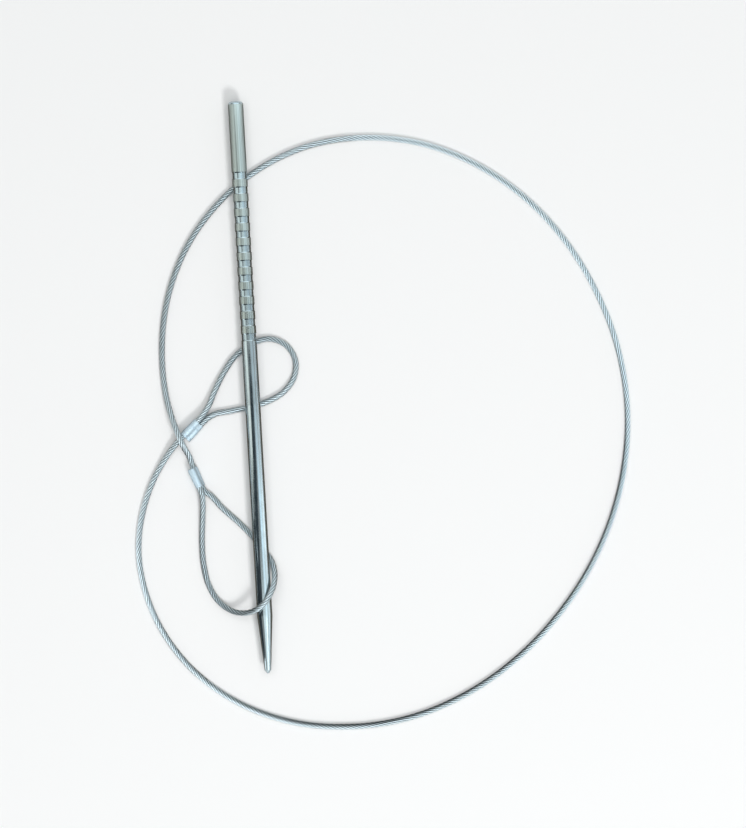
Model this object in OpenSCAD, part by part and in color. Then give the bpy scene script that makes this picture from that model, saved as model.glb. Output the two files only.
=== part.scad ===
// A fish stringer: a pointed steel spike and a wire cable with a crimped eye at each end.
// The spike lies level along Y with its blunt grip end at +Y. It is threaded through one eye
// and rests across the cable, which lies on the table. The origin is the middle of the spike.

/* [Spike] */
// Length of the spike from the blunt end to the point
spike_l = 300; // [240:1:360]
// Diameter of the bar
spike_d = 8; // [6:0.1:10]
// Radius of the edge round the blunt end
butt_edge = 2; // [0.5:0.1:2.5]
// Length of the long taper, nose included
taper_l = 30; // [20:1:45]
// Diameter where the taper meets the nose
nose_d = 3.4; // [2.6:0.1:5]
// Length of the short nose cone
nose_l = 1.6; // [1:0.1:3]
// Diameter of the small flat on the very point
point_d = 1; // [0.4:0.1:2]

/* [Grip grooves] */
// Number of ring grooves
groove_n = 12; // [4:1:16]
// Distance from the blunt end to the first groove
groove_start = 37; // [20:0.5:50]
// Distance from one groove to the next
groove_pitch = 7.7; // [5.5:0.1:9]
// Width of a groove at the surface
groove_w = 4; // [2:0.1:5]
// Depth of a groove
groove_depth = 0.25; // [0.1:0.05:0.6]
// Width of the sloped shoulder on each side of a groove
groove_shoulder = 0.5; // [0.2:0.05:0.9]

/* [Cable] */
// Diameter of the wire rope
cable_d = 3; // [2.4:0.1:3.2]
// Gap between the spike and the cable that it rests on
rest_gap = 0.3; // [0.2:0.05:0.6]

/* [Ferrules] */
// Length of a crimp sleeve
sleeve_l = 10.5; // [8:0.5:14]
// Wall of a sleeve's barrel
sleeve_wall = 0.4; // [0.3:0.05:0.8]
// Clearance between the cable and a barrel's bore
bore_gap = 0.05; // [0.03:0.01:0.15]
// Metal left between the two bores
web_gap = 0.1; // [0.05:0.05:0.4]
// Thickness of the web that joins the barrels
web_t = 3; // [1.5:0.1:3.4]
// Length of the flattened rim at the eye's end
rim_l = 1.9; // [1:0.1:2.1]
// Thickness of the flattened rim, as a share of the barrels'
rim_share = 0.9; // [0.75:0.05:1]
// Chamfer round a barrel's ends
sleeve_edge = 0.2; // [0.1:0.05:0.3]
// Distance from the eye's end to the first pressed mark
crimp_inner = 2.6; // [2.6:0.1:3.4]
// Distance from the outer end to the second pressed mark
crimp_outer = 1.1; // [0.9:0.1:2]
// Width of a pressed mark
crimp_w = 0.8; // [0.4:0.1:1.2]
// Depth of a pressed mark
crimp_depth = 0.25; // [0.1:0.05:0.3]

/* [Hidden] */

spike_r = spike_d / 2;
nose_r = nose_d / 2;
point_r = point_d / 2;
half_l = spike_l / 2;

// The cable is an eight-sided tube with flats above and below, cable_d across the flats.
sides = 8;
tube_r = cable_d / 2 / cos(180 / sides);
table_z = -(spike_r + rest_gap + cable_d);

// The two barrels of a sleeve lie side by side.
bore_r = tube_r + bore_gap;
barrel_r = bore_r + sleeve_wall;
barrel_step = 2 * bore_r + web_gap;
up = [0, 0, 1];

// Each ferrule: where its middle lies, which way its eye is, and how far it is rolled over.
float_sleeve = [[-32.7, -20.8], 43.5, 40];
spike_sleeve = [[-31.7, -45.6], -69, -66];

// The cable is straight for this long where it leaves a sleeve.
straight_l = 2;

// Route of the big loop: x, y, and how high the cable's underside is above the table.
// It starts above the spike's ferrule, crosses over its own other end, and goes round clockwise.
loop_points = [
    [-34.8, -34.5, 1.8], [-36.8, -30.5, 4], [-38.4, -27, 5.9], [-39.6, -23.5, 6.4],
    [-41.2, -18.5, 5.7], [-43.2, -11.5, 3.4], [-45, -3, 1.1], [-46.1, 8, 0.1],
    [-45.9, 24, 0], [-41.5, 49, 0], [-30, 75.3, 0], [-12.5, 97, 0], [11, 114.5, 0],
    [38, 125, 0], [68.5, 127.3, 0], [98.5, 121.8, 0], [126, 108.8, 0], [149.5, 90.3, 0],
    [168.5, 67.3, 0], [182.8, 40.8, 0], [192.3, 12, 0], [196, -18.5, 0], [193.5, -48.5, 0],
    [186, -75.5, 0], [172, -104, 0], [152.5, -129.7, 0], [129, -151.2, 0], [101.5, -167.8, 0],
    [71.5, -178, 0], [40.5, -180.7, 0], [10, -176.2, 0], [-18.5, -163.6, 0],
    [-42.5, -142.8, 0], [-59, -113.8, 0], [-64.2, -82.5, 0], [-59.8, -58.5, 0],
    [-52, -41.5, 0.1], [-45, -31.5, 1.4]
];

// Route of the eye near the middle of the spike. Both of its legs pass under the spike.
float_eye_points = [
    [-20.5, -13, 0.1], [-12, -11.8, 0], [-2, -10.2, 0], [8, -7.8, 0], [16.5, -3.3, 0],
    [22.3, 4, 0], [23.6, 12.5, 0], [19.2, 21, 0], [11, 24.8, 0], [1.5, 23, 0],
    [-8, 16.6, 0], [-14.5, 8.2, 0.2], [-19.6, -0.8, 0.9], [-23.6, -9, 1.9]
];

// Route of the eye near the point. It climbs over the spike and comes back under it.
spike_eye_points = [
    [-29.2, -58, 2.4], [-29.9, -68, 0.6], [-30.8, -80, 0], [-30.6, -91, 0],
    [-28.6, -102, 0.1], [-22.8, -112.2, 1.2], [-15.5, -117, 4.1], [-8.5, -117.6, 8.3],
    [-2.5, -115.2, 11.6], [1, -112.2, 12.1], [4, -107.8, 10.7], [6, -102.6, 7.7],
    [6.4, -97, 4.3], [5.2, -91.6, 1.7], [2.6, -87.2, 0], [-2.5, -80.2, 0],
    [-10.4, -71, 0], [-19.2, -62.2, 0.1], [-24.6, -55.6, 0.4]
];

// Directions and places on a sleeve, where side 1 holds the cable that runs on
// and side -1 holds the cable's cut end.
function heading(f) = [cos(f[1]), sin(f[1]), 0];
function across(f) = cos(f[2]) * [-sin(f[1]), cos(f[1]), 0] + sin(f[2]) * up;
function sleeve_z(f) = table_z + barrel_r + barrel_step / 2 * abs(sin(f[2]));
function on_barrel(f, side, along) =
    [f[0][0], f[0][1], sleeve_z(f)] + along * heading(f) + side * barrel_step / 2 * across(f);

// A point of a route in space.
function lifted(p) = [p[0], p[1], table_z + cable_d / 2 + p[2]];

// One ring of the tube, square to the curve and with a flat above and below.
function unit(v) = v / norm(v);
function step(c, i) = unit(c[i + 1] - c[i]);
function along(c, i) = unit(step(c, max(i - 1, 0)) + step(c, min(i, len(c) - 2)));
function ring(c, i) =
    let (t = along(c, i), side = unit(cross(t, up)), top = cross(side, t))
        [for (k = [0 : sides - 1])
            let (a = (k + 0.5) * 360 / sides)
                c[i] + tube_r * (cos(a) * side + sin(a) * top)];

// The tube is one closed skin over all of its rings.
module tube(c) {
    last = len(c) - 1;
    points = [for (i = [0 : last]) each ring(c, i)];
    walls = [
        for (i = [0 : last - 1], k = [0 : sides - 1])
            let (a = i * sides + k, b = i * sides + (k + 1) % sides)
                each [[a, b, b + sides], [a, b + sides, a + sides]]
    ];
    start_cap = [for (k = [sides - 1 : -1 : 0]) k];
    end_cap = [for (k = [0 : sides - 1]) last * sides + k];
    polyhedron(points, concat(walls, [start_cap, end_cap]));
}

// An eye starts at the cable's cut end inside a sleeve, goes round and comes back through it.
function eye_route(f, points) = concat(
    [on_barrel(f, -1, -sleeve_l / 2), on_barrel(f, -1, sleeve_l / 2 + straight_l)],
    [for (p = points) lifted(p)],
    [on_barrel(f, 1, sleeve_l / 2 + straight_l), on_barrel(f, 1, -sleeve_l / 2)]
);

// The big loop runs from one sleeve's outer mouth to the other's.
loop_route = concat(
    [on_barrel(spike_sleeve, 1, -sleeve_l / 2), on_barrel(spike_sleeve, 1, -sleeve_l / 2 - straight_l)],
    [for (p = loop_points) lifted(p)],
    [on_barrel(float_sleeve, 1, -sleeve_l / 2 - straight_l), on_barrel(float_sleeve, 1, -sleeve_l / 2)]
);

// A groove has sloped shoulders, as a turning tool leaves it.
module groove_cut() {
    polygon([
        [spike_r + 1, 0], [spike_r, 0],
        [spike_r - groove_depth, -groove_shoulder],
        [spike_r - groove_depth, groove_shoulder - groove_w],
        [spike_r, -groove_w], [spike_r + 1, -groove_w]
    ]);
}

// Half of the spike's outline: radius to the right, blunt end up.
module spike_outline() {
    difference() {
        union() {
            polygon([
                [0, -half_l], [point_r, -half_l], [nose_r, nose_l - half_l],
                [spike_r, taper_l - half_l], [spike_r, half_l - butt_edge],
                [spike_r - butt_edge, half_l - butt_edge],
                [spike_r - butt_edge, half_l], [0, half_l]
            ]);
            translate([spike_r - butt_edge, half_l - butt_edge])
                circle(r = butt_edge, $fn = 64);
        }
        for (i = [0 : groove_n - 1])
            translate([0, half_l - groove_start - i * groove_pitch])
                groove_cut();
    }
}

module spike() {
    color("#a9b3b5")
        rotate([-90, 0, 0])
            rotate_extrude($fn = 96)
                spike_outline();
}

// A barrel with a chamfer round each end, along X.
module barrel() {
    rotate([0, 90, 0])
        rotate_extrude($fn = 64)
            polygon([
                [0, -sleeve_l / 2], [barrel_r - sleeve_edge, -sleeve_l / 2],
                [barrel_r, sleeve_edge - sleeve_l / 2], [barrel_r, sleeve_l / 2 - sleeve_edge],
                [barrel_r - sleeve_edge, sleeve_l / 2], [0, sleeve_l / 2]
            ]);
}

// A double-barrel sleeve with a flattened rim at the eye's end, and two pressed marks across
// each of its wide faces.
module ferrule(f) {
    translate([f[0][0], f[0][1], sleeve_z(f)])
        rotate([0, 0, f[1]])
            rotate([f[2], 0, 0])
                difference() {
                    union() {
                        for (side = [-1, 1])
                            translate([0, side * barrel_step / 2, 0])
                                barrel();
                        cube([sleeve_l - 2 * sleeve_edge, barrel_step, web_t], center = true);
                        translate([sleeve_l / 2 - sleeve_edge - rim_l / 2, 0, 0])
                            cube([rim_l, barrel_step, rim_share * 2 * barrel_r], center = true);
                    }
                    for (side = [-1, 1])
                        translate([0, side * barrel_step / 2, 0])
                            rotate([0, 90, 0])
                                cylinder(r = bore_r, h = sleeve_l + 2, center = true, $fn = 64);
                    for (face = [-1, 1], place = [sleeve_l / 2 - crimp_inner, crimp_outer - sleeve_l / 2])
                        translate([place, 0, face * (barrel_r + 1 - crimp_depth)])
                            cube([crimp_w, 4 * barrel_r + barrel_step, 2], center = true);
                }
}

module main_cable() {
    color("#b9c6cb") tube(loop_route);
}

module float_eye() {
    color("#b9c6cb") tube(eye_route(float_sleeve, float_eye_points));
}

module spike_eye() {
    color("#b9c6cb") tube(eye_route(spike_sleeve, spike_eye_points));
}

module float_ferrule() {
    color("#cfe0e8") ferrule(float_sleeve);
}

module spike_ferrule() {
    color("#cfe0e8") ferrule(spike_sleeve);
}

spike();
main_cable();
float_eye();
spike_eye();
float_ferrule();
spike_ferrule();
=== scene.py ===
# %% [markdown]
# # A fish stringer in Blender
# A fish stringer is a pointed steel spike on a length of thin wire rope. The spike is pushed
# through a fish's gill, the rope follows, and the rope's two crimped eyes keep the catch on.
# The CAD model already holds every piece at its real size and place. This script loads it as a
# fixed frame and gives each piece the shape and finish that the eye expects from close by.

# %% Load the frame
import math
from collections import namedtuple
import bpy
from mathutils import Matrix, Vector


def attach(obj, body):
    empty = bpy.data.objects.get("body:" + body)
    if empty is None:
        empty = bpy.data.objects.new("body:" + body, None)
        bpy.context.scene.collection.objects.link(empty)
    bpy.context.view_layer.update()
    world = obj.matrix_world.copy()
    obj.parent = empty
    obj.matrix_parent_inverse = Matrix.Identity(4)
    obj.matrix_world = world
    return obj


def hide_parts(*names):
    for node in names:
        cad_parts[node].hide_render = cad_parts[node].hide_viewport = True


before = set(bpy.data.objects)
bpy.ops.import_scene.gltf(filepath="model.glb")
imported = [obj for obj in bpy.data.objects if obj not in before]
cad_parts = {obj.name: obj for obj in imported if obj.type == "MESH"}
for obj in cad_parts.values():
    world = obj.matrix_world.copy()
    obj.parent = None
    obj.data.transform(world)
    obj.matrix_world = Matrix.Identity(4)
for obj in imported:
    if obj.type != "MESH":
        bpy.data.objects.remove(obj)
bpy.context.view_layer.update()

MM = 0.001
print("CAD nodes:", ", ".join(sorted(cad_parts)))

# %% [markdown]
# ## Camera
# The photograph looks straight down from far away, so nothing in it gets smaller with distance.
# A long lens three metres up gives the same look. The picture's scale comes from the spike,
# which is 300 mm long and 573 pixels long, and the camera is rolled by the spike's lean.

# %% Place the camera over the table
PHOTO_SCALE = 0.52365 * MM    # metres per pixel, at the height of the spike's axis
PHOTO_HEIGHT = 828            # pixels
VIEW_CENTRE = Vector((62.6, -17.6, 0)) * MM
LEAN = math.radians(3.28)
CAMERA_HEIGHT = 3.0
SENSOR = 36

camera_data = bpy.data.cameras.new("camera")
camera_data.sensor_width = SENSOR
camera_data.lens = SENSOR * CAMERA_HEIGHT / (PHOTO_HEIGHT * PHOTO_SCALE)
camera = bpy.data.objects.new("camera", camera_data)
camera.location = VIEW_CENTRE + Vector((0, 0, CAMERA_HEIGHT))
camera.rotation_euler = (0, 0, -LEAN)
bpy.context.scene.collection.objects.link(camera)
bpy.context.scene.camera = camera
print(f"lens {camera_data.lens:.0f} mm")

# %% [markdown]
# ## The cable's route
# The cable is one piece of wire rope. It starts at its cut end inside one crimp sleeve, makes
# the eye round the spike, comes back through the sleeve, goes round the big loop, and closes
# its second eye in the other sleeve. The points are those of the CAD model, in millimetres: x,
# y, and how high the cable's underside is above the table. A rope can't kink, so the route is a
# smooth curve through them, and it is straight where a sleeve holds it.

# %% Sizes of the cable and its sleeves, in millimetres
SPIKE_R = 4.0
CABLE_D = 3.0
CABLE_SIDES = 8        # the CAD cable's flat sides, whose corners a bore has to clear
REST_GAP = 0.3         # between the spike and the cable under it
BORE_GAP = 0.05
BORE_WALL = 0.4
BORE_WEB = 0.1         # the metal between a sleeve's two bores
SLEEVE_L = 10.5
STRAIGHT_L = 2.0       # how far the cable runs straight out of a sleeve

TABLE_Z = -(SPIKE_R + REST_GAP + CABLE_D)
BORE_R = CABLE_D / 2 / math.cos(math.pi / CABLE_SIDES) + BORE_GAP
BARREL_R = BORE_R + BORE_WALL
BARREL_STEP = 2 * BORE_R + BORE_WEB
MOUTH = SLEEVE_L / 2
STUB = MOUTH + STRAIGHT_L

# A sleeve: its middle, which way its eye is, and how far it is rolled over.
Sleeve = namedtuple("Sleeve", "middle turn roll")
FLOAT_SLEEVE = Sleeve((-32.7, -20.8), math.radians(43.5), math.radians(40))
SPIKE_SLEEVE = Sleeve((-31.7, -45.6), math.radians(-69), math.radians(-66))
print(f"table at {TABLE_Z:.1f} mm, barrels {2 * BARREL_R:.2f} mm across")

# %% The route's points
LOOP_POINTS = [
    (-34.8, -34.5, 1.8), (-36.8, -30.5, 4), (-38.4, -27, 5.9), (-39.6, -23.5, 6.4),
    (-41.2, -18.5, 5.7), (-43.2, -11.5, 3.4), (-45, -3, 1.1), (-46.1, 8, 0.1),
    (-45.9, 24, 0), (-41.5, 49, 0), (-30, 75.3, 0), (-12.5, 97, 0), (11, 114.5, 0),
    (38, 125, 0), (68.5, 127.3, 0), (98.5, 121.8, 0), (126, 108.8, 0), (149.5, 90.3, 0),
    (168.5, 67.3, 0), (182.8, 40.8, 0), (192.3, 12, 0), (196, -18.5, 0), (193.5, -48.5, 0),
    (186, -75.5, 0), (172, -104, 0), (152.5, -129.7, 0), (129, -151.2, 0), (101.5, -167.8, 0),
    (71.5, -178, 0), (40.5, -180.7, 0), (10, -176.2, 0), (-18.5, -163.6, 0),
    (-42.5, -142.8, 0), (-59, -113.8, 0), (-64.2, -82.5, 0), (-59.8, -58.5, 0),
    (-52, -41.5, 0.1), (-45, -31.5, 1.4),
]
FLOAT_EYE_POINTS = [
    (-20.5, -13, 0.1), (-12, -11.8, 0), (-2, -10.2, 0), (8, -7.8, 0), (16.5, -3.3, 0),
    (22.3, 4, 0), (23.6, 12.5, 0), (19.2, 21, 0), (11, 24.8, 0), (1.5, 23, 0),
    (-8, 16.6, 0), (-14.5, 8.2, 0.2), (-19.6, -0.8, 0.9), (-23.6, -9, 1.9),
]
SPIKE_EYE_POINTS = [
    (-29.2, -58, 2.4), (-29.9, -68, 0.6), (-30.8, -80, 0), (-30.6, -91, 0),
    (-28.6, -102, 0.1), (-22.8, -112.2, 1.2), (-15.5, -117, 4.1), (-8.5, -117.6, 8.3),
    (-2.5, -115.2, 11.6), (1, -112.2, 12.1), (4, -107.8, 10.7), (6, -102.6, 7.7),
    (6.4, -97, 4.3), (5.2, -91.6, 1.7), (2.6, -87.2, 0), (-2.5, -80.2, 0),
    (-10.4, -71, 0), (-19.2, -62.2, 0.1), (-24.6, -55.6, 0.4),
]
print(len(LOOP_POINTS), len(FLOAT_EYE_POINTS), len(SPIKE_EYE_POINTS), "points")


# %% Where a sleeve holds the cable
def eye_way(sleeve):
    """The direction from the sleeve's middle to its eye."""
    return Vector((math.cos(sleeve.turn), math.sin(sleeve.turn), 0))


def barrel_way(sleeve):
    """The direction from the barrel of the cut end to the other barrel."""
    flat = Vector((-math.sin(sleeve.turn), math.cos(sleeve.turn), 0))
    return flat * math.cos(sleeve.roll) + Vector((0, 0, math.sin(sleeve.roll)))


def sleeve_middle(sleeve):
    """The sleeve lies on the table, so the further it is rolled over, the higher it is."""
    lift = BARREL_R + BARREL_STEP / 2 * abs(math.sin(sleeve.roll))
    return Vector((*sleeve.middle, TABLE_Z + lift))


def on_barrel(sleeve, side, along):
    """A point on a barrel's axis. Side 1 holds the cable that runs on, side -1 its cut end."""
    off_middle = barrel_way(sleeve) * side * BARREL_STEP / 2
    return sleeve_middle(sleeve) + eye_way(sleeve) * along + off_middle


def through(sleeve, side, start, end):
    """Two points of the route in a barrel, each with the direction that it holds the cable in."""
    way = eye_way(sleeve) * (1 if end > start else -1)
    return [(on_barrel(sleeve, side, along), way) for along in (start, end)]


def lifted(points):
    """Points of the route that the cable only lies on, at the height of its middle."""
    return [(Vector((x, y, TABLE_Z + CABLE_D / 2 + lift)), None) for x, y, lift in points]


# %% Join the points into one route
route = (
    through(SPIKE_SLEEVE, -1, -MOUTH, STUB)
    + lifted(SPIKE_EYE_POINTS)
    + through(SPIKE_SLEEVE, 1, STUB, -STUB)
    + lifted(LOOP_POINTS)
    + through(FLOAT_SLEEVE, 1, -STUB, STUB)
    + lifted(reversed(FLOAT_EYE_POINTS))
    + through(FLOAT_SLEEVE, -1, STUB, -MOUTH)
)
print(len(route), "points on the route")

# %% Draw one smooth curve through the points
STEPS_A_STRETCH = 80


def slope(i):
    """The curve's direction at a point: the sleeve's, or the mean of the two stretches'.
    The mean of the heights is one that never dips, so the cable stays on the table."""
    point, way = route[i]
    if way is not None:
        return way
    before, after = point - route[i - 1][0], route[i + 1][0] - point
    a, b = before.length, after.length
    mean = (before * b / a + after * a / b) / (a + b)
    fall, rise = before.z / a, after.z / b
    mean.z = 2 * fall * rise / (fall + rise) if fall * rise > 0 else 0
    return mean


def cubic(i, t):
    """A point on the stretch after point i, t from 0 to 1."""
    p, q = route[i][0], route[i + 1][0]
    length = (q - p).length
    s, c = t * t, t * t * t
    return (
        p * (2 * c - 3 * s + 1) + slope(i) * length * (c - 2 * s + t)
        + q * (3 * s - 2 * c) + slope(i + 1) * length * (c - s)
    )


curve = [
    cubic(i, step / STEPS_A_STRETCH)
    for i in range(len(route) - 1) for step in range(STEPS_A_STRETCH)
] + [route[-1][0]]
run = [0.0]    # how far along the curve each of its points is
for a, b in zip(curve, curve[1:]):
    run.append(run[-1] + (b - a).length)
print(f"the whole cable is {run[-1] / 1000:.3f} m long")


# %% Find places along the curve
def at(distance):
    """The point of the curve this many millimetres along it."""
    low, high = 0, len(run) - 1
    while high - low > 1:
        middle = (low + high) // 2
        if run[middle] <= distance:
            low = middle
        else:
            high = middle
    share = (distance - run[low]) / (run[high] - run[low])
    return curve[low].lerp(curve[high], share)


def nearest(point):
    """How far along the curve the place nearest to a point is."""
    return run[min(range(len(curve)), key=lambda i: (curve[i] - point).length_squared)]


spike_join = nearest(on_barrel(SPIKE_SLEEVE, 1, 0))
float_join = nearest(on_barrel(FLOAT_SLEEVE, 1, 0))
print(f"the eyes end {spike_join:.1f} and {float_join:.1f} mm along the cable")

# %% [markdown]
# ## The wire rope
# The rope is laid from six strands round a core, and each strand is laid from seven wires. It
# has a right-hand lay, so its strands climb like the middle bar of a Z, once round in 16 mm.
# A bump on a plain tube would look flat at the rope's edge, so each strand is a tube of its own
# that winds round the curve. All three stretches share one winding, so the rope runs on
# unbroken through the sleeves, where the stretches meet out of sight.

# %% Sizes of the rope's strands, in millimetres
LAY = 16.0
STRANDS = 6
STRAND_R = 0.48
STRAND_RING = CABLE_D / 2 - STRAND_R
STRAND_SIDES = 10
CORE_R = 0.55
CORE_SIDES = 6
RING_STEP = 0.95       # from one ring of a strand to the next
CORE_SKIP = 3          # the core is hidden, so it has every third ring only
DIRECTION_REACH = 0.2  # each way along the curve, to tell its direction
print(f"strands {2 * STRAND_R:.2f} mm thick, {LAY:.0f} mm a turn")


# %% Where a strand runs
def cross_section(distance):
    """The curve's point there, with the side and top directions square to it."""
    low = max(distance - DIRECTION_REACH, 0)
    high = min(distance + DIRECTION_REACH, run[-1])
    way = (at(high) - at(low)).normalized()
    side = way.cross(Vector((0, 0, 1))).normalized()
    return at(distance), side, side.cross(way)


def strand_centre(section, distance, strand):
    """A point on a strand's own middle line, and its direction from the rope's middle."""
    middle, side, top = section
    turn = -math.tau * distance / LAY + math.tau * strand / STRANDS
    out = side * math.cos(turn) + top * math.sin(turn)
    return middle + out * STRAND_RING, out


# %% Make one closed tube
def add_tube(mesh_points, mesh_faces, coords, centres, outs, radius, sides, runs):
    """Rings round the centres, a cap at each end, and a UV in real lengths."""
    first = len(mesh_points)
    for i, (centre, out) in enumerate(zip(centres, outs)):
        ahead = centres[min(i + 1, len(centres) - 1)]
        behind = centres[max(i - 1, 0)]
        way = (ahead - behind).normalized()
        beside = way.cross(out).normalized()
        out = beside.cross(way)
        for k in range(sides):
            a = math.tau * k / sides
            mesh_points.append(
                (centre + out * radius * math.cos(a) + beside * radius * math.sin(a)) * MM)
    for i in range(len(centres) - 1):
        for k in range(sides):
            a, b = first + i * sides + k, first + i * sides + (k + 1) % sides
            mesh_faces.append((a, b, b + sides, a + sides))
            u, v, w, x = runs[i] * MM, runs[i + 1] * MM, k / sides, (k + 1) / sides
            coords.extend([(u, w), (u, x), (v, x), (v, w)])
    last = len(mesh_points) - sides
    for start, order in ((first, range(sides - 1, -1, -1)), (last, range(sides))):
        mesh_faces.append([start + k for k in order])
        coords.extend([(runs[0] * MM, 0)] * sides)


# %% Make a stretch of rope
def rope(name, start, end):
    """The rope from one distance along the curve to another, as one mesh."""
    rings = math.ceil((end - start) / RING_STEP)
    runs = [start + (end - start) * i / rings for i in range(rings + 1)]
    sections = [cross_section(distance) for distance in runs]
    points, faces, coords = [], [], []
    for strand in range(STRANDS):
        wound = [strand_centre(s, d, strand) for s, d in zip(sections, runs)]
        add_tube(points, faces, coords, [centre for centre, out in wound],
                 [out for centre, out in wound], STRAND_R, STRAND_SIDES, runs)
    core = list(range(0, rings + 1, CORE_SKIP))
    core[-1] = rings
    add_tube(points, faces, coords, [sections[i][0] for i in core],
             [sections[i][1] for i in core], CORE_R, CORE_SIDES, [runs[i] for i in core])
    mesh = bpy.data.meshes.new(name)
    mesh.from_pydata(points, [], faces)
    uv = mesh.uv_layers.new(name="along_and_round")
    uv.data.foreach_set("uv", [value for pair in coords for value in pair])
    mesh.polygons.foreach_set("use_smooth", [len(f) == 4 for f in faces])
    piece = bpy.data.objects.new(name, mesh)
    bpy.context.scene.collection.objects.link(piece)
    path = [middle * MM for middle, side, top in sections]
    length = sum((b - a).length for a, b in zip(path, path[1:]))
    triangles = sum(len(f) - 2 for f in faces)
    print(f"{name}: {length:.3f} m, {triangles} triangles")
    return piece, path, length


spike_eye, spike_eye_path, spike_eye_length = rope("spike_eye_rope", 0, spike_join)
main_cable, main_path, main_length = rope("main_rope", spike_join, float_join)
float_eye, float_eye_path, float_eye_length = rope("float_eye_rope", float_join, run[-1])

# %% Hang the rope's three stretches on the cable's body, in place of the CAD ones
for piece, node in ((main_cable, "main_cable"), (spike_eye, "spike_eye"), (float_eye, "float_eye")):
    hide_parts(node)
    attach(piece, "cable")
    print(piece.name, "replaces", node)

# %% [markdown]
# ## The crimp sleeves
# Each eye is closed by a pressed sleeve of soft bright metal: two barrels side by side, one for
# each leg of the rope. The press has drawn in its outer end and left it a little slimmer towards
# the eye, and a hand tool has pinched one of the two across in two places. The model starts as
# two cylinders and two webs that booleans join. Its outer end is resized ring by ring, a taper
# slims it, and the bores are cut through. Cuts across it then give loops of edges that can be
# squeezed, which leaves the pinched marks, and a bevel rounds the rims last.

# %% Helpers for modelling by hand
def select_none():
    if bpy.context.object and bpy.context.object.mode != "OBJECT":
        bpy.ops.object.mode_set(mode="OBJECT")
    bpy.ops.object.select_all(action="DESELECT")


def make_active(piece):
    select_none()
    piece.select_set(True)
    bpy.context.view_layer.objects.active = piece


def apply_modifier(piece, kind, **settings):
    """Adds a modifier with its settings and makes it part of the mesh."""
    make_active(piece)
    modifier = piece.modifiers.new(kind.lower(), kind)
    for name, value in settings.items():
        setattr(modifier, name, value)
    bpy.ops.object.modifier_apply(modifier=modifier.name)


def combine(piece, other, operation):
    apply_modifier(piece, "BOOLEAN", object=other, operation=operation, solver="EXACT")
    bpy.data.objects.remove(other)


# %% The solids that a sleeve starts from
BARREL_SIDES = 48


def add_rod(radius, length, y):
    """A cylinder along X, in millimetres."""
    select_none()
    bpy.ops.mesh.primitive_cylinder_add(
        vertices=BARREL_SIDES, radius=radius * MM, depth=length * MM,
        location=Vector((0, y, 0)) * MM, rotation=(0, math.pi / 2, 0))
    bpy.ops.object.transform_apply(location=True, rotation=True, scale=True)
    return bpy.context.object


def add_block(x, length, height):
    """A block between the barrels, in millimetres."""
    select_none()
    bpy.ops.mesh.primitive_cube_add(
        size=1, location=(x * MM, 0, 0), scale=(length * MM, BARREL_STEP * MM, height * MM))
    bpy.ops.object.transform_apply(location=True, rotation=True, scale=True)
    return bpy.context.object


# %% Cut and resize a sleeve
def cut_across(piece, *places):
    """Cuts the sleeve right across at distances along X, which leaves loops of edges."""
    make_active(piece)
    bpy.ops.object.mode_set(mode="EDIT")
    for along in places:
        bpy.ops.mesh.select_all(action="SELECT")
        bpy.ops.mesh.bisect(plane_co=(along * MM, 0, 0), plane_no=(1, 0, 0))
    bpy.ops.object.mode_set(mode="OBJECT")


def resize_chosen(piece, is_chosen, width, height):
    """Scales the corners that a test picks, across the sleeve only."""
    make_active(piece)
    bpy.ops.object.mode_set(mode="EDIT")
    bpy.ops.mesh.select_all(action="DESELECT")
    bpy.ops.object.mode_set(mode="OBJECT")
    for vertex in piece.data.vertices:
        vertex.select = is_chosen(vertex.co)
    bpy.ops.object.mode_set(mode="EDIT")
    bpy.ops.transform.resize(value=(1, width, height), center_override=(0, 0, 0))
    bpy.ops.object.mode_set(mode="OBJECT")


# %% Draw in the outer end
OUTER_ROUND = ((0.8, 1), (0.35, 0.975), (0, 0.91))    # mm off the end, and share of the width
ON_CUT = 0.01                                         # mm, near enough to be on a cut


def round_outer_end(piece):
    """Draws in the end away from the eye in two rings, before the bores are cut."""
    for off_end, share in OUTER_ROUND:
        along = off_end - MOUTH
        if off_end:
            cut_across(piece, along)
        resize_chosen(piece, lambda corner: abs(corner.x - along * MM) < ON_CUT * MM, share, share)


# %% Pinch the sleeve
MARKS = {"float_ferrule": (3.3, 9.3), "spike_ferrule": ()}    # mm from the eye's end
MARK_W = 0.9
MARK_CUTS = (-0.5, -0.25, 0.25, 0.5)    # of its width: the inner two make the mark's floor
FLOOR_REACH = 0.3
SKIN_R = 1.8                            # what is nearer to a bore's axis is the bore's wall
MARK_WIDTH, MARK_HEIGHT = 0.97, 0.84


def pinch(piece, middle):
    """Squeezes the sleeve's outside between two cuts, and leaves the bores' walls alone."""
    def on_floor(corner):
        off_bore = Vector((0, abs(abs(corner.y) - BARREL_STEP / 2 * MM), corner.z)).length
        return abs(corner.x - middle * MM) < MARK_W * FLOOR_REACH * MM and off_bore > SKIN_R * MM

    cut_across(piece, *[middle + MARK_W * share for share in MARK_CUTS])
    resize_chosen(piece, on_floor, MARK_WIDTH, MARK_HEIGHT)


# %% Model a sleeve along X, then lay it in its place
WEB_T = 3.5
EYE_RIM_L = 3.0
EYE_RIM_T = 4.0
TAPER = -0.1           # of the width, from the outer end to the eye's end
ROPE_FIT_R = 1.54      # the pressed bore fits the rope's strands closely
CUTTER_L = SLEEVE_L + 2
RIM = 0.16


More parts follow.
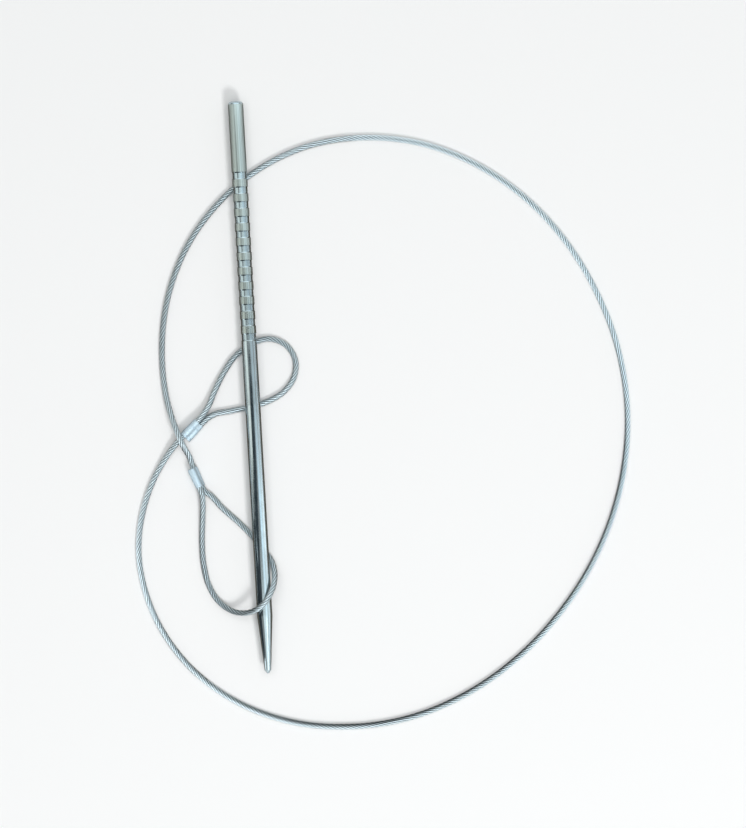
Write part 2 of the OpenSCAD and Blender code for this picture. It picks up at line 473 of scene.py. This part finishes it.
def model_sleeve(node, sleeve):
    """A double-barrel sleeve, pinched at its marks, in its place on the cable."""
    half = BARREL_STEP / 2
    piece = add_rod(BARREL_R, SLEEVE_L, half)
    combine(piece, add_rod(BARREL_R, SLEEVE_L, -half), "UNION")
    combine(piece, add_block(0, SLEEVE_L, WEB_T), "UNION")
    combine(piece, add_block(MOUTH - EYE_RIM_L / 2, EYE_RIM_L, EYE_RIM_T), "UNION")
    round_outer_end(piece)
    piece.scale = (1, 1 + TAPER / 2, 1 + TAPER / 2)
    make_active(piece)
    bpy.ops.object.transform_apply(scale=True)
    apply_modifier(piece, "SIMPLE_DEFORM", deform_method="TAPER", deform_axis="X", factor=TAPER)
    for side in (-1, 1):
        combine(piece, add_rod(ROPE_FIT_R, CUTTER_L, side * half), "DIFFERENCE")
    for mark in MARKS[node]:
        pinch(piece, MOUTH - mark)
    apply_modifier(piece, "BEVEL", width=RIM * MM, segments=3, limit_method="ANGLE",
                   angle_limit=math.radians(50))
    turn = Matrix.Rotation(sleeve.turn, 4, "Z") @ Matrix.Rotation(sleeve.roll, 4, "X")
    piece.matrix_world = Matrix.Translation(sleeve_middle(sleeve) * MM) @ turn
    make_active(piece)
    bpy.ops.object.transform_apply(location=True, rotation=True, scale=True)
    bpy.ops.object.shade_smooth_by_angle(angle=math.radians(35))
    piece.name = piece.data.name = node.replace("ferrule", "sleeve")
    print(f"{piece.name}: {len(piece.data.polygons)} faces")
    return piece


sleeve_pieces = {}
for node, sleeve in (("float_ferrule", FLOAT_SLEEVE), ("spike_ferrule", SPIKE_SLEEVE)):
    piece = model_sleeve(node, sleeve)
    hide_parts(node)
    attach(piece, "cable")
    sleeve_pieces[node] = piece

both_sleeves = list(sleeve_pieces.values())

# %% [markdown]
# ## The spike
# The spike is turned from 8 mm stainless bar: a rounded blunt end, twelve shallow ring grooves
# for the fingers, a polished shank and a long point. A lathe makes it by moving a tool along
# the bar, and here a circle of edges is extruded and resized along the bar in the same way.

# %% Sizes of the spike, in millimetres
SPIKE_L = 300.0
HALF_L = SPIKE_L / 2
SPIKE_SIDES = 96
BUTT_EDGE = 2.0         # the radius of the blunt end's edge
EDGE_STEPS = 8
GROOVES = 12
GROOVE_START = 37.0     # from the blunt end
GROOVE_PITCH = 7.7
GROOVE_W = 4.0
GROOVE_DEPTH = 0.28
HIGH_SHOULDER = 0.65    # the one nearer to the blunt end
LOW_SHOULDER = 0.45
BESIDE_GROOVE = 1.2     # a stop on either side keeps the groove's edges crisp
SHANK_STOPS = (10, -50, -100)
TAPER_L = 30.0
TAPER_SLOPE = 0.08      # over its first millimetre
NOSE_L, NOSE_R = 1.6, 1.7
POINT_R = 0.5
POINT_EDGE_L, POINT_EDGE_W = 0.15, 0.12


def spike_outline():
    """The lathe's stops: distance along Y and radius, from the blunt end to the point."""
    stops = []
    for step in range(EDGE_STEPS + 1):
        a = math.radians(90 - 90 * step / EDGE_STEPS)
        stops.append((HALF_L - BUTT_EDGE + BUTT_EDGE * math.sin(a),
                      SPIKE_R - BUTT_EDGE + BUTT_EDGE * math.cos(a)))
    for groove in range(GROOVES):
        top = HALF_L - GROOVE_START - groove * GROOVE_PITCH
        foot = top - GROOVE_W
        stops += [(top + BESIDE_GROOVE, SPIKE_R), (top, SPIKE_R)]
        stops += [(top - HIGH_SHOULDER, SPIKE_R - GROOVE_DEPTH)]
        stops += [(foot + LOW_SHOULDER, SPIKE_R - GROOVE_DEPTH)]
        stops += [(foot, SPIKE_R), (foot - BESIDE_GROOVE, SPIKE_R)]
    taper_start = TAPER_L - HALF_L
    stops += [(y, SPIKE_R) for y in (*SHANK_STOPS, taper_start + 1, taper_start)]
    stops += [(taper_start - 1, SPIKE_R - TAPER_SLOPE), (NOSE_L - HALF_L, NOSE_R)]
    stops += [(POINT_EDGE_L - HALF_L, POINT_R + POINT_EDGE_W), (-HALF_L, POINT_R)]
    return stops


print(len(spike_outline()), "stops along the spike")


# %% Turn the spike from a circle
def extrude_ring():
    bpy.ops.mesh.extrude_region_move(TRANSFORM_OT_translate={"value": (0, 0, 0)})


def turn_spike():
    stops = spike_outline()
    start, start_r = stops[0]
    select_none()
    bpy.ops.mesh.primitive_circle_add(
        vertices=SPIKE_SIDES, radius=start_r * MM, fill_type="NGON",
        location=(0, start * MM, 0), rotation=(math.pi / 2, 0, 0))
    bpy.ops.object.transform_apply(location=True, rotation=True, scale=True)
    piece = bpy.context.object
    bpy.ops.object.mode_set(mode="EDIT")
    bpy.ops.mesh.select_all(action="SELECT")
    for (y, r), (next_y, next_r) in zip(stops, stops[1:]):
        extrude_ring()
        bpy.ops.transform.translate(value=(0, (next_y - y) * MM, 0))
        bpy.ops.transform.resize(
            value=(next_r / r, 1, next_r / r), center_override=(0, next_y * MM, 0))
    bpy.ops.mesh.select_all(action="SELECT")
    bpy.ops.mesh.normals_make_consistent(inside=False)
    bpy.ops.object.mode_set(mode="OBJECT")
    bpy.ops.object.shade_smooth_by_angle(angle=math.radians(20))
    piece.name = piece.data.name = "turned_spike"
    return piece


spike = turn_spike()
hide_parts("spike")
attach(spike, "spike")
print(f"spike: {len(spike.data.polygons)} faces")

# %% [markdown]
# ## Materials
# All three finishes are bare metal, so their look is made by how smooth they are and by what
# they mirror, and the rope's colour also has painted shade in its valleys. Each material starts
# from a typical value for its metal.

# %% Helpers for materials
def linear(hex_code):
    """An sRGB hex colour as the linear colour that a shader wants."""
    channels = [int(hex_code[i:i + 2], 16) / 255 for i in (1, 3, 5)]
    return (*[c / 12.92 if c <= 0.04045 else ((c + 0.055) / 1.055) ** 2.4 for c in channels], 1)


def add_node(tree, kind, inputs=(), **settings):
    """Adds a node with its settings. An input, by name or number, is given a plain value,
    another node for its result, or one of its other outputs."""
    node = tree.nodes.new(kind)
    for name, value in settings.items():
        setattr(node, name, value)
    for name, source in dict(inputs).items():
        named = [s for s in node.inputs if s.name == name and s.enabled]
        socket = named[0] if named else node.inputs[name]
        if isinstance(source, bpy.types.Node):
            source = next(s for s in source.outputs if s.enabled)
        if isinstance(source, bpy.types.NodeSocket):
            tree.links.new(source, socket)
        else:
            socket.default_value = source
    return node


def new_material(name):
    material = bpy.data.materials.new(name)
    material.use_nodes = True
    material.node_tree.nodes.clear()
    return material, material.node_tree


def dress(piece, material):
    piece.data.materials.clear()
    piece.data.materials.append(material)
    print(piece.name, "is", material.name)


# %% [markdown]
# ### The spike's steel
# The bar is cold-drawn stainless steel. Its shank is polished and mirrors its surroundings as
# lengthwise bands. The grip is left dull, with fine drawing lines along it, but hands have
# polished it towards the shank, and each groove is bright where the lathe's tool has cut it.
# Masks made from Object coordinates tell the finishes apart: how far along the bar a point is,
# and how far from its axis.

# %% Drawn and polished stainless bar
GRIP_FOOT = (0.0238, 0.0246)       # metres along Y, from the shank's finish to the grip's
GROOVE_EDGE = (0.00398, 0.00392)   # metres off the axis, from the bar's skin to a cut groove
RUBBED = (0.1, 0.03)               # metres along Y, from where hands rub the grip little to much


def make_spike_steel():
    material, tree = new_material("drawn_stainless_bar")
    place = add_node(tree, "ShaderNodeTexCoord").outputs["Object"]
    parts = add_node(tree, "ShaderNodeSeparateXYZ", {0: place})
    flat = add_node(tree, "ShaderNodeCombineXYZ", {
        "X": parts.outputs["X"], "Z": parts.outputs["Z"]})
    radius = add_node(tree, "ShaderNodeVectorMath", {0: flat}, operation="LENGTH")
    grip = add_node(tree, "ShaderNodeMapRange", {
        "Value": parts.outputs["Y"], "From Min": GRIP_FOOT[0], "From Max": GRIP_FOOT[1]})
    deep = add_node(tree, "ShaderNodeMapRange", {
        "Value": radius, "From Min": GROOVE_EDGE[0], "From Max": GROOVE_EDGE[1]})
    groove = add_node(tree, "ShaderNodeMath", {0: grip, 1: deep}, operation="MULTIPLY")
    dull = add_node(tree, "ShaderNodeMath", {0: grip, 1: groove}, operation="SUBTRACT")

    # Drawing lines, drawn 0.4 mm across so that they show: the real ones are finer.
    along = add_node(tree, "ShaderNodeMapping", {"Vector": place, "Scale": (2600, 14, 2600)})
    lines = add_node(tree, "ShaderNodeTexNoise", {"Vector": along, "Scale": 1, "Detail": 2})
    # The lathe's marks run round each groove, 0.25 mm apart.
    around = add_node(tree, "ShaderNodeMapping", {"Vector": place, "Scale": (120, 4000, 120)})
    marks = add_node(tree, "ShaderNodeTexNoise", {"Vector": around, "Scale": 1, "Detail": 2})
    # Handling has left cloudy patches, 6 mm across.
    clouds = add_node(tree, "ShaderNodeTexNoise", {"Vector": place, "Scale": 170, "Detail": 3})

    # Colour: one steel, a little darker in the grooves, and uneven along the drawing lines.
    tone = add_node(tree, "ShaderNodeValToRGB", {"Fac": lines})
    tone.color_ramp.elements[0].position = 0.4
    tone.color_ramp.elements[0].color = linear("#A0A9A6")
    tone.color_ramp.elements[1].position = 0.6
    tone.color_ramp.elements[1].color = linear("#C0CAC7")
    bright = add_node(tree, "ShaderNodeMix", {
        "Factor": groove, "A": linear("#BCC8CC"), "B": linear("#ADBBC0")}, data_type="RGBA")
    colour = add_node(tree, "ShaderNodeMix", {
        "Factor": dull, "A": bright, "B": tone}, data_type="RGBA")

    # Roughness: a polished shank, turned grooves, and a dull grip that is rubbed at its foot.
    polish = add_node(tree, "ShaderNodeMapRange", {
        "Value": clouds, "From Min": 0.3, "From Max": 0.7, "To Min": 0.1, "To Max": 0.17})
    soft = add_node(tree, "ShaderNodeMapRange", {
        "Value": lines, "From Min": 0.3, "From Max": 0.7, "To Min": 0.36, "To Max": 0.5})
    turned = add_node(tree, "ShaderNodeMix", {"Factor": groove, "A": polish, "B": 0.18})
    rubbed = add_node(tree, "ShaderNodeMapRange", {
        "Value": parts.outputs["Y"], "From Min": RUBBED[0], "From Max": RUBBED[1],
        "To Min": 0.0, "To Max": 0.85})
    worn = add_node(tree, "ShaderNodeMix", {"Factor": rubbed, "A": soft, "B": 0.2})
    rough = add_node(tree, "ShaderNodeMix", {"Factor": dull, "A": turned, "B": worn})

    # Bump: the lines or the marks, faint on the shank.
    grain = add_node(tree, "ShaderNodeMix", {"Factor": groove, "A": lines, "B": marks})
    strength = add_node(tree, "ShaderNodeMapRange", {
        "Value": grip, "To Min": 0.12, "To Max": 0.7})
    bump = add_node(tree, "ShaderNodeBump", {
        "Height": grain, "Strength": strength, "Distance": 0.000012})
    shader = add_node(tree, "ShaderNodeBsdfPrincipled", {
        "Base Color": colour, "Roughness": rough, "Normal": bump, "Metallic": 1})
    add_node(tree, "ShaderNodeOutputMaterial", {"Surface": shader})
    return material


dress(spike, make_spike_steel())

# %% [markdown]
# ### The rope's wire
# Each strand is laid from small bright wires, six of them on its outside. The valleys between the
# strands and the seams between the wires are darker: partly grease, and partly painted shade where
# strands and wires shade each other. Both follow the rope, so they read the strands' own UV map:
# how far along the rope a point is, and how far round its strand from the crown.

# %% Bright stainless wire
WIRES = 6
WIRE_LAY = 6.4 * MM
HALF_TURN = 0.5


def make_rope_steel():
    material, tree = new_material("bright_stainless_wire")
    place = add_node(tree, "ShaderNodeTexCoord").outputs["Object"]
    wound = add_node(tree, "ShaderNodeUVMap", uv_map="along_and_round")
    parts = add_node(tree, "ShaderNodeSeparateXYZ", {0: wound})

    # The wires: 0.5 mm apart round the strand, wound the other way from the strands.
    turns = add_node(tree, "ShaderNodeMath", {
        0: parts.outputs["X"], 1: 1 / WIRE_LAY, 2: parts.outputs["Y"]}, operation="MULTIPLY_ADD")
    phase = add_node(tree, "ShaderNodeMath", {0: turns, 1: WIRES * math.pi}, operation="MULTIPLY")
    wave = add_node(tree, "ShaderNodeMath", {0: phase}, operation="SINE")
    wires = add_node(tree, "ShaderNodeMath", {0: wave}, operation="ABSOLUTE")
    bump = add_node(tree, "ShaderNodeBump", {
        "Height": wires, "Strength": 0.3, "Distance": 0.00007})

    # The valleys, darkened as grease and painted shade: from an eighth of a turn off the crown,
    # down to where two strands meet.
    off_crown = add_node(tree, "ShaderNodeMath", {
        0: parts.outputs["Y"], 1: HALF_TURN}, operation="PINGPONG")
    valley = add_node(tree, "ShaderNodeMapRange", {
        "Value": off_crown, "From Min": 0.13, "From Max": 0.25})
    # The seams between the wires are darkened a little too, as painted shade between the wires.
    seam = add_node(tree, "ShaderNodeMapRange", {
        "Value": wires, "From Min": 0.45, "From Max": 0.0, "To Min": 0.0, "To Max": 0.2})
    grease_and_shade = add_node(tree, "ShaderNodeMath", {0: valley, 1: seam}, operation="MAXIMUM")

    # Handling has left the wires a little uneven, in patches of 3 mm.
    clouds = add_node(tree, "ShaderNodeTexNoise", {"Vector": place, "Scale": 300, "Detail": 2})
    clean = add_node(tree, "ShaderNodeMix", {
        "Factor": clouds, "A": linear("#D2DEE4"), "B": linear("#E8F1F5")}, data_type="RGBA")
    # In the valleys and seams the colour goes to a dark grey: partly grease, partly painted shade.
    colour = add_node(tree, "ShaderNodeMix", {
        "Factor": grease_and_shade, "A": clean, "B": linear("#6E7677")}, data_type="RGBA")
    rough = add_node(tree, "ShaderNodeMapRange", {"Value": grease_and_shade, "To Min": 0.34, "To Max": 0.5})
    shader = add_node(tree, "ShaderNodeBsdfPrincipled", {
        "Base Color": colour, "Roughness": rough, "Normal": bump, "Metallic": 1})
    add_node(tree, "ShaderNodeOutputMaterial", {"Surface": shader})
    return material


rope_steel = make_rope_steel()
for piece in (main_cable, spike_eye, float_eye):
    dress(piece, rope_steel)

# %% [markdown]
# ### The sleeves' metal
# The sleeves are pressed from soft aluminium. It is pale and satin, because the pressing tool
# leaves a fine matt skin, with a few shallow rub marks from the tool along the barrels.

# %% Pressed satin aluminium
RUB_SHARE = 2.5    # how much deeper the rub marks are than the grain


def make_sleeve_metal():
    material, tree = new_material("pressed_satin_aluminium")
    place = add_node(tree, "ShaderNodeTexCoord").outputs["Object"]
    # The matt skin has a grain of 0.15 mm, drawn twice as coarse as the real one so that it shows.
    skin = add_node(tree, "ShaderNodeTexNoise", {"Vector": place, "Scale": 6500, "Detail": 2})
    # The rub marks are about 1 mm across.
    rubs = add_node(tree, "ShaderNodeTexNoise", {"Vector": place, "Scale": 900, "Detail": 3})
    height = add_node(tree, "ShaderNodeMath", {
        0: rubs, 1: RUB_SHARE, 2: skin}, operation="MULTIPLY_ADD")
    bump = add_node(tree, "ShaderNodeBump", {
        "Height": height, "Strength": 0.5, "Distance": 0.00003})
    colour = add_node(tree, "ShaderNodeMix", {
        "Factor": rubs, "A": linear("#C4D9E6"), "B": linear("#DDECF4")}, data_type="RGBA")
    rough = add_node(tree, "ShaderNodeMapRange", {
        "Value": skin, "From Min": 0.3, "From Max": 0.7, "To Min": 0.5, "To Max": 0.62})
    shader = add_node(tree, "ShaderNodeBsdfPrincipled", {
        "Base Color": colour, "Roughness": rough, "Normal": bump, "Metallic": 0.6})
    add_node(tree, "ShaderNodeOutputMaterial", {"Surface": shader})
    return material


sleeve_metal = make_sleeve_metal()
for piece in both_sleeves:
    dress(piece, sleeve_metal)

# %% [markdown]
# ## Stage and light
# The stringer lies on a plain pale table. The main light comes from the foot of the picture and
# a little from the right. Bright metal shows what stands round it, so most of the work is in its
# surroundings: soft boxes overhead and at the walls, a row of them to the right of the spike in
# strips, and low ones just outside the rope. Dark cards between them give the metal the dark
# bands that the eye reads as polished steel. The table has two lamps of its own, so that what
# the metal mirrors can be set without changing the table.

# %% The table
TABLE_SIZE = 12

select_none()
bpy.ops.mesh.primitive_plane_add(size=TABLE_SIZE, location=(0, 0, TABLE_Z * MM))
table = bpy.context.object
table.name = "table"
table_material, tree = new_material("pale_table")
shader = add_node(tree, "ShaderNodeBsdfPrincipled", {
    "Base Color": linear("#F8F8F8"), "Roughness": 0.9, "Specular IOR Level": 0})
add_node(tree, "ShaderNodeOutputMaterial", {"Surface": shader})
dress(table, table_material)

# %% Pale surroundings
world = bpy.data.worlds.new("surroundings")
bpy.context.scene.world = world
world.use_nodes = True
background = world.node_tree.nodes["Background"]
background.inputs["Color"].default_value = linear("#F2F6F6")
background.inputs["Strength"].default_value = 0.4
print(world.name, "are lit")


# %% Two kinds of lamp
def soft_box(name, middle, target, width, height, brightness, colour="#FFFFFF", side=(1, 0, 0)):
    """A lamp as bright to look at as the number says, where 1 is white. Its width runs along
    side. The metal mirrors it, and it doesn't tint the table."""
    data = bpy.data.lights.new(name, "AREA")
    data.shape = "RECTANGLE"
    data.size, data.size_y = width, height
    data.energy = brightness * width * height * math.pi
    data.color = linear(colour)[:3]
    back = (Vector(middle) - Vector(target)).normalized()
    across = (Vector(side) - back * back.dot(Vector(side))).normalized()
    turn = Matrix((across, back.cross(across), back)).transposed()
    lamp = bpy.data.objects.new(name, data)
    lamp.matrix_world = Matrix.Translation(middle) @ turn.to_4x4()
    lamp.visible_camera = lamp.visible_diffuse = False
    bpy.context.scene.collection.objects.link(lamp)
    return lamp


def table_lamp(name, middle, target, size, level):
    """A lamp that only the table shows. Level is how white it makes a white table."""
    way = Vector(middle) - Vector(target)
    facing = way.normalized().z
    brightness = level * math.pi * way.length_squared / (size * size * facing)
    lamp = soft_box(name, middle, target, size, size, brightness)
    lamp.visible_diffuse, lamp.visible_glossy = True, False


# %% Soft boxes round the object, in metres
ALONG_Y = (0, 1, 0)
SOFT_BOXES = [
    # the window at the foot of the picture, and what hangs over the spike
    ("window", (0.31, -0.68, 0.84), (0.05, -0.05, 0), 0.8, 0.68, 2.4, "#F0F9FC"),
    ("over_grip", (0, 0.22, 0.55), (0, 0.22, 0), 0.4, 0.36, 0.72, "#F0FAF6"),
    ("over_point", (0.2, -0.25, 0.6), (0.2, -0.25, 0), 0.8, 0.25, 0.9, "#E8F5F8"),
    # the walls, and low boxes that light the metal's sides
    ("left_wall", (-0.5, 0.12, 0.36), (0, 0.12, 0.36), 0.36, 0.52, 0.95, "#F3F8F0", ALONG_Y),
    ("back_wall", (0.05, 0.9, 0.45), (0.05, 0, 0.45), 1.4, 0.8, 0.8, "#EEF6F8"),
    ("low_front", (-0.2, -0.35, 0.14), (-0.2, 0, 0.14), 0.6, 0.24, 0.85, "#F0F6F8"),
    ("left_front", (-0.3, -0.18, 0.1), (0, -0.18, 0.1), 0.16, 0.2, 0.9, "#F0F6F8", ALONG_Y),
    # over the big loop and just outside it
    ("over_top_run", (0.08, 0.17, 0.3), (0.08, 0.17, 0), 0.3, 0.12, 0.35, "#E4F2FA"),
    ("beyond_right_run", (0.27, -0.01, 0.07), (0.27, -0.01, 0), 0.14, 0.24, 0.75, "#D0EAF8"),
    ("beyond_top_run", (0.08, 0.19, 0.05), (0.08, 0.19, 0), 0.22, 0.076, 0.9, "#E4F2FA"),
    ("beyond_low_right", (0.235, -0.19, 0.06), (0.235, -0.19, 0), 0.13, 0.12, 1.1, "#E0F2F8"),
    ("beyond_low_left", (-0.137, -0.13, 0.05), (-0.137, -0.13, 0), 0.13, 0.09, 0.9, "#E8F4FA"),
]
for box in SOFT_BOXES:
    soft_box(*box)
print(len(SOFT_BOXES), "soft boxes")

# %% Soft boxes to the right, in strips across the spike
# The spike mirrors what lies square to it, so each strip lights one length of the spike: where
# along Y it starts and ends, then how bright it is overhead, further right and at the wall.
STRIPS = {
    "foot": (-0.55, -0.115, 0.0, 0.6, 0.6),
    "low_shank": (-0.115, -0.065, 0.5, 1.8, 1.5),
    "shank": (-0.065, -0.015, 0.3, 0.72, 0.3),
    "high_shank": (-0.015, 0.03, 0.15, 0.35, 0.0),
    "grip": (0.03, 0.11, 0.15, 0.45, 0.2),
    "butt": (0.11, 0.17, 0.2, 0.8, 0.5),
    "top": (0.17, 0.45, 0.4, 1.15, 0.65),
}
NEAR_X, NEAR_W = 0.235, 0.17
FAR_X, FAR_W = 0.66, 0.68
WALL_X, WALL_H = 1.0, 0.9
HANG_Z = 0.9

for name, (start, end, near, far, wall) in STRIPS.items():
    y, length = (start + end) / 2, end - start
    middle = WALL_H / 2
    soft_box(name + "_near", (NEAR_X, y, HANG_Z), (NEAR_X, y, 0), NEAR_W, length, near, "#BCD8EE")
    soft_box(name + "_far", (FAR_X, y, HANG_Z), (FAR_X, y, 0), FAR_W, length, far, "#CEE4F0")
    soft_box(name + "_wall", (WALL_X, y, middle), (0, y, middle), length, WALL_H, wall, "#EAF4F8",
             ALONG_Y)
print(len(STRIPS) * 3, "boxes in strips")

# %% Lamps for the table
table_lamp("shadow_lamp", (0.61, -1.35, 1.84), (0.05, -0.05, 0), 0.5, 0.3)
table_lamp("fill_lamp", (0.0, 0.1, 2.4), (0.0, 0.1, 0), 2.2, 0.45)
print("a shadow lamp and a fill lamp")


# %% What a card is
def card_material(name, colour):
    """A matt card that is clear from behind."""
    material, tree = new_material(name)
    matt = add_node(tree, "ShaderNodeBsdfDiffuse", {"Color": linear(colour)})
    clear = add_node(tree, "ShaderNodeBsdfTransparent")
    side = add_node(tree, "ShaderNodeNewGeometry").outputs["Backfacing"]
    one_sided = add_node(tree, "ShaderNodeMixShader", {0: side, 1: matt, 2: clear})
    add_node(tree, "ShaderNodeOutputMaterial", {"Surface": one_sided})
    return material


black_card = card_material("black_card", "#3E474D")
brown_card = card_material("brown_card", "#6E675F")
umber_card = card_material("umber_card", "#2C2824")
grey_card = card_material("grey_card", "#C0CCD2")


def add_card(name, facing, corners, material, faces=None):
    """A card that the metal mirrors, and that only shows on the side facing a point. It shades
    nothing, and the camera can't see it."""
    mesh = bpy.data.meshes.new(name)
    mesh.from_pydata([Vector(c) * MM for c in corners], [], faces or [range(len(corners))])
    first = mesh.polygons[0]
    if first.normal.dot(Vector(facing) * MM - first.center) < 0:
        mesh.flip_normals()
    card = bpy.data.objects.new(name, mesh)
    bpy.context.scene.collection.objects.link(card)
    card.visible_camera = card.visible_diffuse = card.visible_shadow = False
    dress(card, material)


# %% Cards for the spike
SHANK, GRIP, POINT = (0, 0, 0), (0, 60, 0), (0, -120, 0)
OVERHEAD = 250
BELOW_GRIP = -10
LOW_EDGE, HIGH_EDGE = 28, 180
SPIKE_SIDE, SIDE_END = 4.3, 151
LOW = TABLE_Z + 0.05

add_card("card_over_shank", SHANK, [
    (10, 24, OVERHEAD), (55, 7, OVERHEAD), (25, -40, OVERHEAD), (-70, -80, OVERHEAD),
    (-100, -100, OVERHEAD), (-130, -150, OVERHEAD), (-2000, -150, OVERHEAD),
    (-2000, -82, OVERHEAD), (-230, -40, OVERHEAD), (-105, 7, OVERHEAD), (-80, 24, OVERHEAD)],
    black_card)
for name, left, right, material in (
        ("card_below_grip", -400, 5, black_card), ("grey_card_below_grip", 5, 90, grey_card)):
    add_card(name, GRIP, [
        (left, BELOW_GRIP, LOW_EDGE), (right, BELOW_GRIP, LOW_EDGE),
        (right, BELOW_GRIP, HIGH_EDGE), (left, BELOW_GRIP, HIGH_EDGE)], material)
# It stands inside the eye's loop on the left, clear of the cable.
add_card("card_left_of_point", POINT, [
    (-30, -148, -2.5), (-30, -148, 26), (-30, -118, -2.5), (-30, -118, 26),
    (-52, -104, -2.5), (-52, -104, 45), (-52, -70, -2.5), (-52, -70, 10)],
    black_card, [(0, 1, 3, 2), (2, 3, 5, 4), (4, 5, 7, 6)])
# Just above the table on both sides, so that the spike's flanks mirror a warm dark tone.
for name, left, right in (
        ("card_left_of_spike", -60, -SPIKE_SIDE), ("card_right_of_spike", SPIKE_SIDE, 60)):
    add_card(name, SHANK, [
        (left, -SIDE_END, LOW), (right, -SIDE_END, LOW),
        (right, SIDE_END, LOW), (left, SIDE_END, LOW)], brown_card)

# %% A curved card inside the lower right of the loop
# It is painted shade: the rope's inner side mirrors this dark card as if that side lay in shadow.
# Its height at each of the route's points, from the right of the loop round to the lower left.
CARD_HEIGHTS = [3, 6, 12, 26, 40, 45, 45, 45, 45, 40, 28, 15, 9, 6, 4]
FIRST_POINT = 19
INSIDE_LOOP = (165, 30, 300)


def card_profile(height):
    """From the table beside the cable, back, up and over it: how far off the cable's middle
    each edge is, and its share of the height. The higher the card, the further it leans over."""
    foot = max(1.1, 10.1 - 0.45 * height)
    brim = 12 - 0.4 * height
    return [(foot, 0), (9, 0), (12, 0.3), (12, 1), (brim, 1.15)]


def curved_card():
    corners, faces = [], []
    for i, height in enumerate(CARD_HEIGHTS, FIRST_POINT):
        before, here, after = [Vector(LOOP_POINTS[k][:2]) for k in (i - 1, i, i + 1)]
        way = (after - before).normalized()
        inwards = Vector((way.y, -way.x))
        profile = card_profile(height)
        corners += [(*(here + inwards * off), LOW + height * share) for off, share in profile]
    row = len(profile)
    for i in range(0, len(corners) - row, row):
        faces += [(i + k, i + k + 1, i + k + 1 + row, i + k + row) for k in range(row - 1)]
    add_card("card_inside_loop", INSIDE_LOOP, corners, umber_card, faces)


curved_card()

# %% Show colours as they are written
bpy.context.scene.view_settings.view_transform = "Standard"
print("view transform:", bpy.context.scene.view_settings.view_transform)
